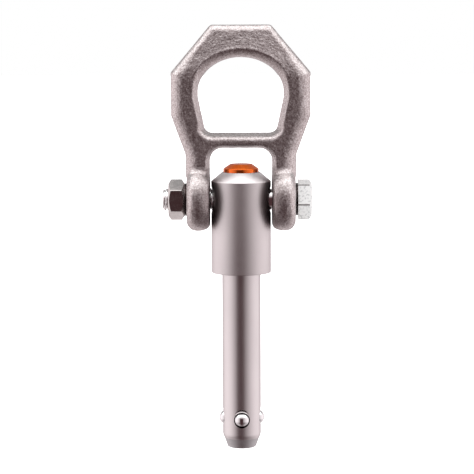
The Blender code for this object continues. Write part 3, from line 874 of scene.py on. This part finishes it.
CAST_PITS = (0.40, 0.34, 0.335)
CAST_MIDDLE = (0.64, 0.585, 0.58)
CAST_PEAKS = (0.88, 0.84, 0.84)
# painted shade on the ears beside their inner faces
EAR_RIM_PAINTED_SHADE = (0.10, 0.06, 0.06)
# painted shade on the ears' inner faces
EAR_FACE_PAINTED_SHADE = (0.09, 0.05, 0.05)
# strength of that painted shade beside the inner faces
EAR_RIM_SHADE_SHARE = 0.42
MACHINED_ROUGH = 0.14
EAR_TOP = 16.5  # above the bolt's axis
PIN_STEEL = (0.74, 0.705, 0.71)
TIP_STEEL = (0.60, 0.60, 0.61)
# painted light: a brighter colour on the head's upward-facing chamfer
CHAMFER_PAINTED_LIGHT = (0.96, 0.93, 0.935)
# painted shade inside the bores, ball holes and grooves
BORE_PAINTED_SHADE = (0.10, 0.085, 0.085)
SHANK_ROUGH = 0.345
HEAD_ROUGH = 0.45
CHAMFER_ROUGH = 0.4
TIP_ROUGH = 0.5
ZINC = (0.97, 0.97, 0.97)
FROST_DARK = (0.66, 0.66, 0.66)
FROST_PALE = (0.94, 0.93, 0.925)
ZINC_ROUGH = 0.1
FROST_METALLIC = 0.03
# painted shade along the bolt head's corners
HEX_EDGE_PAINTED_SHADE = (0.24, 0.22, 0.22)
HEX_EDGE_RADII = (10.44, 10.56)
# painted shade on the bolt's washer face, in the gap under its head
WASHER_FACE_PAINTED_SHADE = (0.03, 0.02, 0.02)
NUT_STEEL = (0.66, 0.63, 0.62)
# painted shade on the nut's washer face against the ear
NUT_FACE_PAINTED_SHADE = (0.05, 0.035, 0.035)
ORANGE = (0.78, 0.13, 0.012)
ORANGE_DEEP = (0.86, 0.13, 0.008)
ORANGE_PALE = (0.98, 0.20, 0.014)
CHROME = (0.86, 0.86, 0.87)
# painted shade where each ball sits in its hole
BALL_PAINTED_SHADE = (0.04, 0.03, 0.03)


def cast_steel():
    """Investment-cast stainless: pinkish grey, finely pitted, with softly mottled tone."""
    material, tree, shader = new_material("cast_steel", (0.5, 0.46, 0.46), 0.42)
    grain = noise_at(tree, 1300, detail=2.0, roughness=0.6)
    pitted = ramp(tree, grain, [(0.30, CAST_PITS), (0.50, CAST_MIDDLE), (0.70, CAST_PEAKS)])
    tone = ramp(tree, noise_at(tree, 150), [(0.3, 0.88), (0.7, 1.0)])
    skin = blend(tree, 1.0, pitted, tone, "MULTIPLY")
    rough = ramp(tree, noise_at(tree, 600), [(0.3, 0.31), (0.7, 0.43)])

    # the ears' inner faces are machined and smooth, and carry painted shade; more painted shade
    # darkens the ears towards those faces
    x, _, z = object_xyz(tree)
    aside = calculate(tree, "ABSOLUTE", x)
    inner = step_mm(tree, aside, EAR_INNER_X + 0.5, EAR_INNER_X + 0.2)
    low = step_mm(tree, z, BOLT_Z + EAR_TOP + 0.5, BOLT_Z + EAR_TOP - 0.5)
    machined_shaded_face = times(tree, inner, low)
    rim = step_mm(tree, aside, EAR_INNER_X + 7, EAR_INNER_X + 1)
    # painted shade towards the inner faces, below the ears' tops
    skin = blend(tree, times(tree, times(tree, rim, low), EAR_RIM_SHADE_SHARE), skin, EAR_RIM_PAINTED_SHADE)
    # painted shade on the ears' inner faces themselves
    tree.links.new(blend(tree, machined_shaded_face, skin, EAR_FACE_PAINTED_SHADE), shader.inputs["Base Color"])
    tree.links.new(blend(tree, machined_shaded_face, rough, MACHINED_ROUGH), shader.inputs["Roughness"])
    bump(tree, shader, (noise_at(tree, 480, detail=1.5), 0.42, 0.5), (grain, 0.25, 0.6),
         (noise_at(tree, 2100, detail=1.0), 0.09, 0.5))
    return material


def turned_rings(tree, lines):
    """Fine uneven rings round a piece's own upright axis, this many to the metre."""
    return noise_at(tree, lines, (0.02, 0.02, 1.0), detail=2.0)


def clouded(tree, colour):
    """A colour with a faint cloudiness."""
    cloud = noise_at(tree, 90, (1, 1, 0.4), detail=2.0)
    return ramp(tree, cloud, [(0.3, tuple(c * 0.94 for c in colour)), (0.7, colour)])


def machined_steel(name, colour, rough, lines):
    """Turned or drawn steel: fine rings round its own axis and a faint cloudiness."""
    material, tree, shader = new_material(name, colour, rough)
    rings = turned_rings(tree, lines)
    uneven = ramp(tree, rings, [(0.3, rough * 0.85), (0.7, rough * 1.15)])
    tree.links.new(clouded(tree, colour), shader.inputs["Base Color"])
    tree.links.new(uneven, shader.inputs["Roughness"])
    bump(tree, shader, (rings, 0.004, 0.5))
    return material


def pin_steel():
    """Stainless: a ground shank and a duller turned head and tip, with painted light on the head's
    chamfer and painted shade in the bores.
    """
    material, tree, shader = new_material("turned_steel", PIN_STEEL, 0.25)
    x, y, z = object_xyz(tree)
    head = step_mm(tree, z, UNDERSIDE_Z - 0.5, UNDERSIDE_Z + 0.5)
    shoulder = UNDERSIDE_Z + HEAD_SHOULDER
    chamfer = step_mm(tree, z, shoulder - 0.2, shoulder + 0.2)
    tip_shoulder = span("pin_body", 2)[0] + TIP_SHOULDER
    crease = tip_shoulder - TIP_SHOULDER_DEPTH
    turned = step_mm(tree, z, crease + 0.1, crease - 0.1)

    rings = turned_rings(tree, 5000)
    finish = blend(tree, chamfer, blend(tree, head, SHANK_ROUGH, HEAD_ROUGH), CHAMFER_ROUGH)
    rough = times(tree, finish, calculate(tree, "MULTIPLY_ADD", rings, 0.4, 0.8))
    tree.links.new(blend(tree, turned, rough, TIP_ROUGH), shader.inputs["Roughness"])
    bump(tree, shader, (rings, 0.004, 0.5))

    # painted shade: everything sunk below the shank's surface, away from the tip, is darkened
    outer = step_mm(tree, hypotenuse(tree, x, y), SHANK_RADIUS - 0.45, SHANK_RADIUS - 0.2)
    at_tip = step_mm(tree, z, tip_shoulder + 2.0, tip_shoulder + 1.0)
    bright = calculate(tree, "MAXIMUM", outer, at_tip)
    tint = blend(tree, turned, clouded(tree, PIN_STEEL), TIP_STEEL)
    # painted light: the head's chamfer gets a brighter colour
    tint = blend(tree, chamfer, tint, CHAMFER_PAINTED_LIGHT)
    tree.links.new(blend(tree, bright, BORE_PAINTED_SHADE, tint), shader.inputs["Base Color"])
    return material


def zinc_plate():
    """Bright zinc, smooth on the bolt's shank and frosted on its head, with painted shade along the
    head's corners and on the washer face under it.
    """
    material, tree, shader = new_material("zinc_plate", ZINC, 0.2)
    x, y, z = object_xyz(tree)
    head = step_mm(tree, x, BOLT_HEAD_X - 0.3, BOLT_HEAD_X)
    spangle = noise_at(tree, 850, detail=2.0)
    frost = ramp(tree, spangle, [(0.3, 0.30), (0.7, 0.46)])
    tree.links.new(blend(tree, head, ZINC_ROUGH, frost), shader.inputs["Roughness"])
    tree.links.new(blend(tree, head, 1.0, FROST_METALLIC), shader.inputs["Metallic"])
    frosted = ramp(tree, spangle, [(0.36, FROST_DARK), (0.48, FROST_PALE)])
    tint = blend(tree, head, ZINC, frosted)
    # painted shade in a thin band along the head's corners
    above = calculate(tree, "SUBTRACT", z, BOLT_Z * MM)
    edge = step_mm(tree, hypotenuse(tree, y, above), *HEX_EDGE_RADII)
    tint = blend(tree, times(tree, edge, head), tint, HEX_EDGE_PAINTED_SHADE)
    # painted shade on the washer face, between the ear and the head
    past = step_mm(tree, x, WASHER_FACE_X - 0.3, WASHER_FACE_X)
    short = step_mm(tree, x, BOLT_HEAD_X, BOLT_HEAD_X - 0.2)
    tint = blend(tree, times(tree, past, short), tint, WASHER_FACE_PAINTED_SHADE)
    tree.links.new(tint, shader.inputs["Base Color"])
    bump(tree, shader, (spangle, 0.16, 0.5))
    return material


def nut_steel():
    """Semi-bright steel, slightly uneven, with painted shade on the washer face against the ear."""
    material, tree, shader = new_material("nut_steel", NUT_STEEL, 0.2)
    stain = noise_at(tree, 260)
    tint = ramp(tree, stain, [(0.35, tuple(c * 0.9 for c in NUT_STEEL)), (0.65, NUT_STEEL)])
    # painted shade on the washer face against the ear
    shoulder = span("lock_nut", 0)[1] - NUT_WASHER_FACE
    unshaded_nut = step_mm(tree, object_xyz(tree)[0], shoulder + 0.1, shoulder - 0.1)
    tree.links.new(blend(tree, unshaded_nut, NUT_FACE_PAINTED_SHADE, tint), shader.inputs["Base Color"])
    uneven = ramp(tree, noise_at(tree, 500), [(0.3, 0.16), (0.7, 0.26)])
    tree.links.new(uneven, shader.inputs["Roughness"])
    bump(tree, shader, (noise_at(tree, 700, detail=2.0), 0.03, 0.35))
    return material


def orange_anodised():
    """Orange dyed anodising with fine turning rings under a clear sealed surface."""
    material, tree, shader = new_material("orange_anodised", ORANGE, 0.32, metallic=0.9)
    shader.inputs["Coat Weight"].default_value = 0.5
    shader.inputs["Coat Roughness"].default_value = 0.08
    dye = noise_at(tree, 500, detail=2.0)
    tint = ramp(tree, dye, [(0.3, ORANGE_DEEP), (0.7, ORANGE_PALE)])
    tree.links.new(tint, shader.inputs["Base Color"])
    edge = span("push_button", 2)[1] - BUTTON_CONE_DROP
    cone = step_mm(tree, object_xyz(tree)[2], edge - 0.1, edge + 0.3)
    tree.links.new(blend(tree, cone, 0.2, 0.5), shader.inputs["Roughness"])
    tree.links.new(blend(tree, cone, 0.95, 0.6), shader.inputs["Metallic"])
    bump(tree, shader, (noise_at(tree, 6000, (0.03, 0.03, 1.0), detail=1.0), 0.004, 0.4))
    return material


def ball_chrome():
    """Polished, with painted shade where the ball sits inside its hole."""
    material, tree, shader = new_material("ball_chrome", CHROME, 0.04)
    haze = ramp(tree, noise_at(tree, 400), [(0.3, 0.02), (0.7, 0.045)])
    tree.links.new(haze, shader.inputs["Roughness"])
    x, y, _ = object_xyz(tree)
    # painted shade where the ball sinks below the shank's surface
    out = step_mm(tree, hypotenuse(tree, x, y), SHANK_RADIUS - 0.45, SHANK_RADIUS - 0.3)
    tree.links.new(blend(tree, out, BALL_PAINTED_SHADE, CHROME), shader.inputs["Base Color"])
    return material


# ------------------------------ studio and camera

# brightness of the tent's walls by azimuth, 0 in front and positive towards +X
WALL_LIGHT = ((-180, 0.42), (-150, 0.62), (-118, 1.12), (-92, 1.14), (-66, 1.0), (-48, 0.66),
              (-31, 0.36), (-29, 0.0), (16, 0.0), (18, 0.26), (40, 0.58), (60, 0.86),
              (92, 1.08), (118, 1.08), (150, 0.60), (180, 0.42))
DIM = (0.062, 0.030, 0.032)  # light from every direction, on top of the walls' light
PALE = (1.0, 0.945, 0.955)  # tint of the walls' light
UPPER_WALLS = 0.82  # the least brightness high on the walls
LOW_SIDES = 0.48  # shares of the walls' light left low at the sides and in front
LOW_AHEAD = 0.22
UNDERNEATH = 0.12
LOW_REAR = 0.9
HIGH_REAR = 0.42
CEILING = 2.0
DIFFUSE_FILL = 0.95
BACKDROP = 1.0
FLOOR_REACH = 30.0  # metres
FLOOR_Z = -1.0
CAMERA_LENS = 151.9
CAMERA_SENSOR = 36.0
CAMERA_DISTANCE = 1.0416  # metres
CAMERA_PITCH = 6.5  # degrees downwards
CAMERA_ROLL = -0.23  # degrees
AIM_X = -2.2
AIM_RISE = 18.4  # above the underside of the pin's head


def make_tent():
    """A light tent: dim towards the front, bright at the sides and overhead, grey behind."""
    world = bpy.data.worlds.new("tent")
    world.use_nodes = True
    bpy.context.scene.world = world
    tree = world.node_tree
    x, y, z = split_xyz(tree, tree.nodes.new("ShaderNodeTexCoord").outputs["Generated"])
    azimuth = calculate(tree, "ARCTAN2", x, times(tree, y, -1.0))
    elevation = calculate(tree, "ARCSINE", z)
    turn = calculate(tree, "MULTIPLY_ADD", azimuth, 1 / math.tau, 0.5)
    walls = ramp(tree, turn, [((angle + 180) / 360, grey) for angle, grey in WALL_LIGHT])

    # the walls, brighter above and darker below, most of all in front
    upward = step_degrees(tree, elevation, 14, 52)
    raised = blend(tree, upward, walls, calculate(tree, "MAXIMUM", walls, UPPER_WALLS))
    below = step_degrees(tree, elevation, -14, -46)
    ahead = step_degrees(tree, calculate(tree, "ABSOLUTE", azimuth), 85, 40)
    low_share = blend(tree, below, 1.0, blend(tree, ahead, LOW_SIDES, LOW_AHEAD))
    shaded = times(tree, raised, low_share)

    # straight below, and a bright strip low behind
    under = blend(tree, step_degrees(tree, elevation, -62, -84), shaded, UNDERNEATH)
    depth = calculate(tree, "MAXIMUM", times(tree, z, -1.0), 0.01)
    rear_low = smooth_step(tree, calculate(tree, "DIVIDE", y, depth), 0.46, 0.62)
    rear_low = times(tree, rear_low, step_degrees(tree, elevation, -20, -40))
    lit = blend(tree, rear_low, under, LOW_REAR)
    glow = tree.nodes.new("ShaderNodeVectorMath")
    glow.operation = "SCALE"
    glow.inputs[0].default_value = PALE
    tree.links.new(lit, glow.inputs["Scale"])
    tinted = tree.nodes.new("ShaderNodeVectorMath")
    tinted.inputs[1].default_value = DIM
    tree.links.new(glow.outputs["Vector"], tinted.inputs[0])

    # a ceiling panel overhead and a dimmer rear behind it, by slope from the zenith
    behind = calculate(tree, "DIVIDE", y, calculate(tree, "MAXIMUM", z, 0.01))
    panel = times(tree, smooth_step(tree, behind, -0.95, -0.5),
                  smooth_step(tree, behind, 0.44, 0.28))
    panel = times(tree, panel, smooth_step(tree, z, 0.3, 0.6))
    rear = times(tree, smooth_step(tree, behind, 0.34, 0.55), smooth_step(tree, z, 0.2, 0.5))
    dimmed = blend(tree, rear, tinted.outputs["Vector"], HIGH_REAR)
    tented = blend(tree, panel, dimmed, CEILING)

    # mirror rays see the tent, diffuse rays an even fill, and the camera the white backdrop
    rays = tree.nodes.new("ShaderNodeLightPath").outputs
    filled = blend(tree, rays["Is Diffuse Ray"], tented, DIFFUSE_FILL)
    shown = blend(tree, rays["Is Camera Ray"], filled, BACKDROP)
    tree.links.new(shown, tree.nodes["Background"].inputs["Color"])


def make_floor():
    """A plain pale floor well below the hanging pin; the metal reflects the tent instead."""
    material, _, shader = new_material("floor", (0.9, 0.9, 0.9), 0.9, metallic=0.0)
    shader.inputs["Emission Color"].default_value = (1, 1, 1, 1)
    shader.inputs["Emission Strength"].default_value = 1.0
    mesh = bpy.data.meshes.new("floor")
    reach = FLOOR_REACH
    mesh.from_pydata([(-reach, -reach, FLOOR_Z), (reach, -reach, FLOOR_Z),
                      (reach, reach, FLOOR_Z), (-reach, reach, FLOOR_Z)], [], [(0, 1, 2, 3)])
    mesh.materials.append(material)
    floor = bpy.data.objects.new("floor", mesh)
    bpy.context.scene.collection.objects.link(floor)
    floor.visible_glossy = False
    floor.visible_diffuse = False


def make_camera():
    """A long lens about a metre away, looking slightly down at the hanging pin."""
    data = bpy.data.cameras.new("camera")
    data.lens, data.sensor_width = CAMERA_LENS, CAMERA_SENSOR
    camera = bpy.data.objects.new("camera", data)
    pitch, roll = math.radians(CAMERA_PITCH), math.radians(CAMERA_ROLL)
    aim = Vector((AIM_X * MM, 0, (UNDERSIDE_Z + AIM_RISE) * MM))
    camera.location = aim + CAMERA_DISTANCE * Vector((0, -math.cos(pitch), math.sin(pitch)))
    turn = Matrix.Rotation(math.radians(90) - pitch, 3, "X") @ Matrix.Rotation(roll, 3, "Z")
    camera.rotation_euler = turn.to_euler()
    bpy.context.scene.collection.objects.link(camera)
    bpy.context.scene.camera = camera


def main():
    make_shackle(cast_steel())
    make_bolt(zinc_plate())
    make_nut(nut_steel())
    make_pin_body(pin_steel())
    make_button(orange_anodised())
    make_spindle(machined_steel("spindle_steel", (0.62, 0.61, 0.61), 0.2, 4000))
    make_spring(machined_steel("spring_wire", (0.55, 0.55, 0.56), 0.3, 2500))
    make_balls(ball_chrome())
    make_tent()
    make_floor()
    make_camera()
    bpy.context.scene.view_settings.view_transform = "Standard"


main()
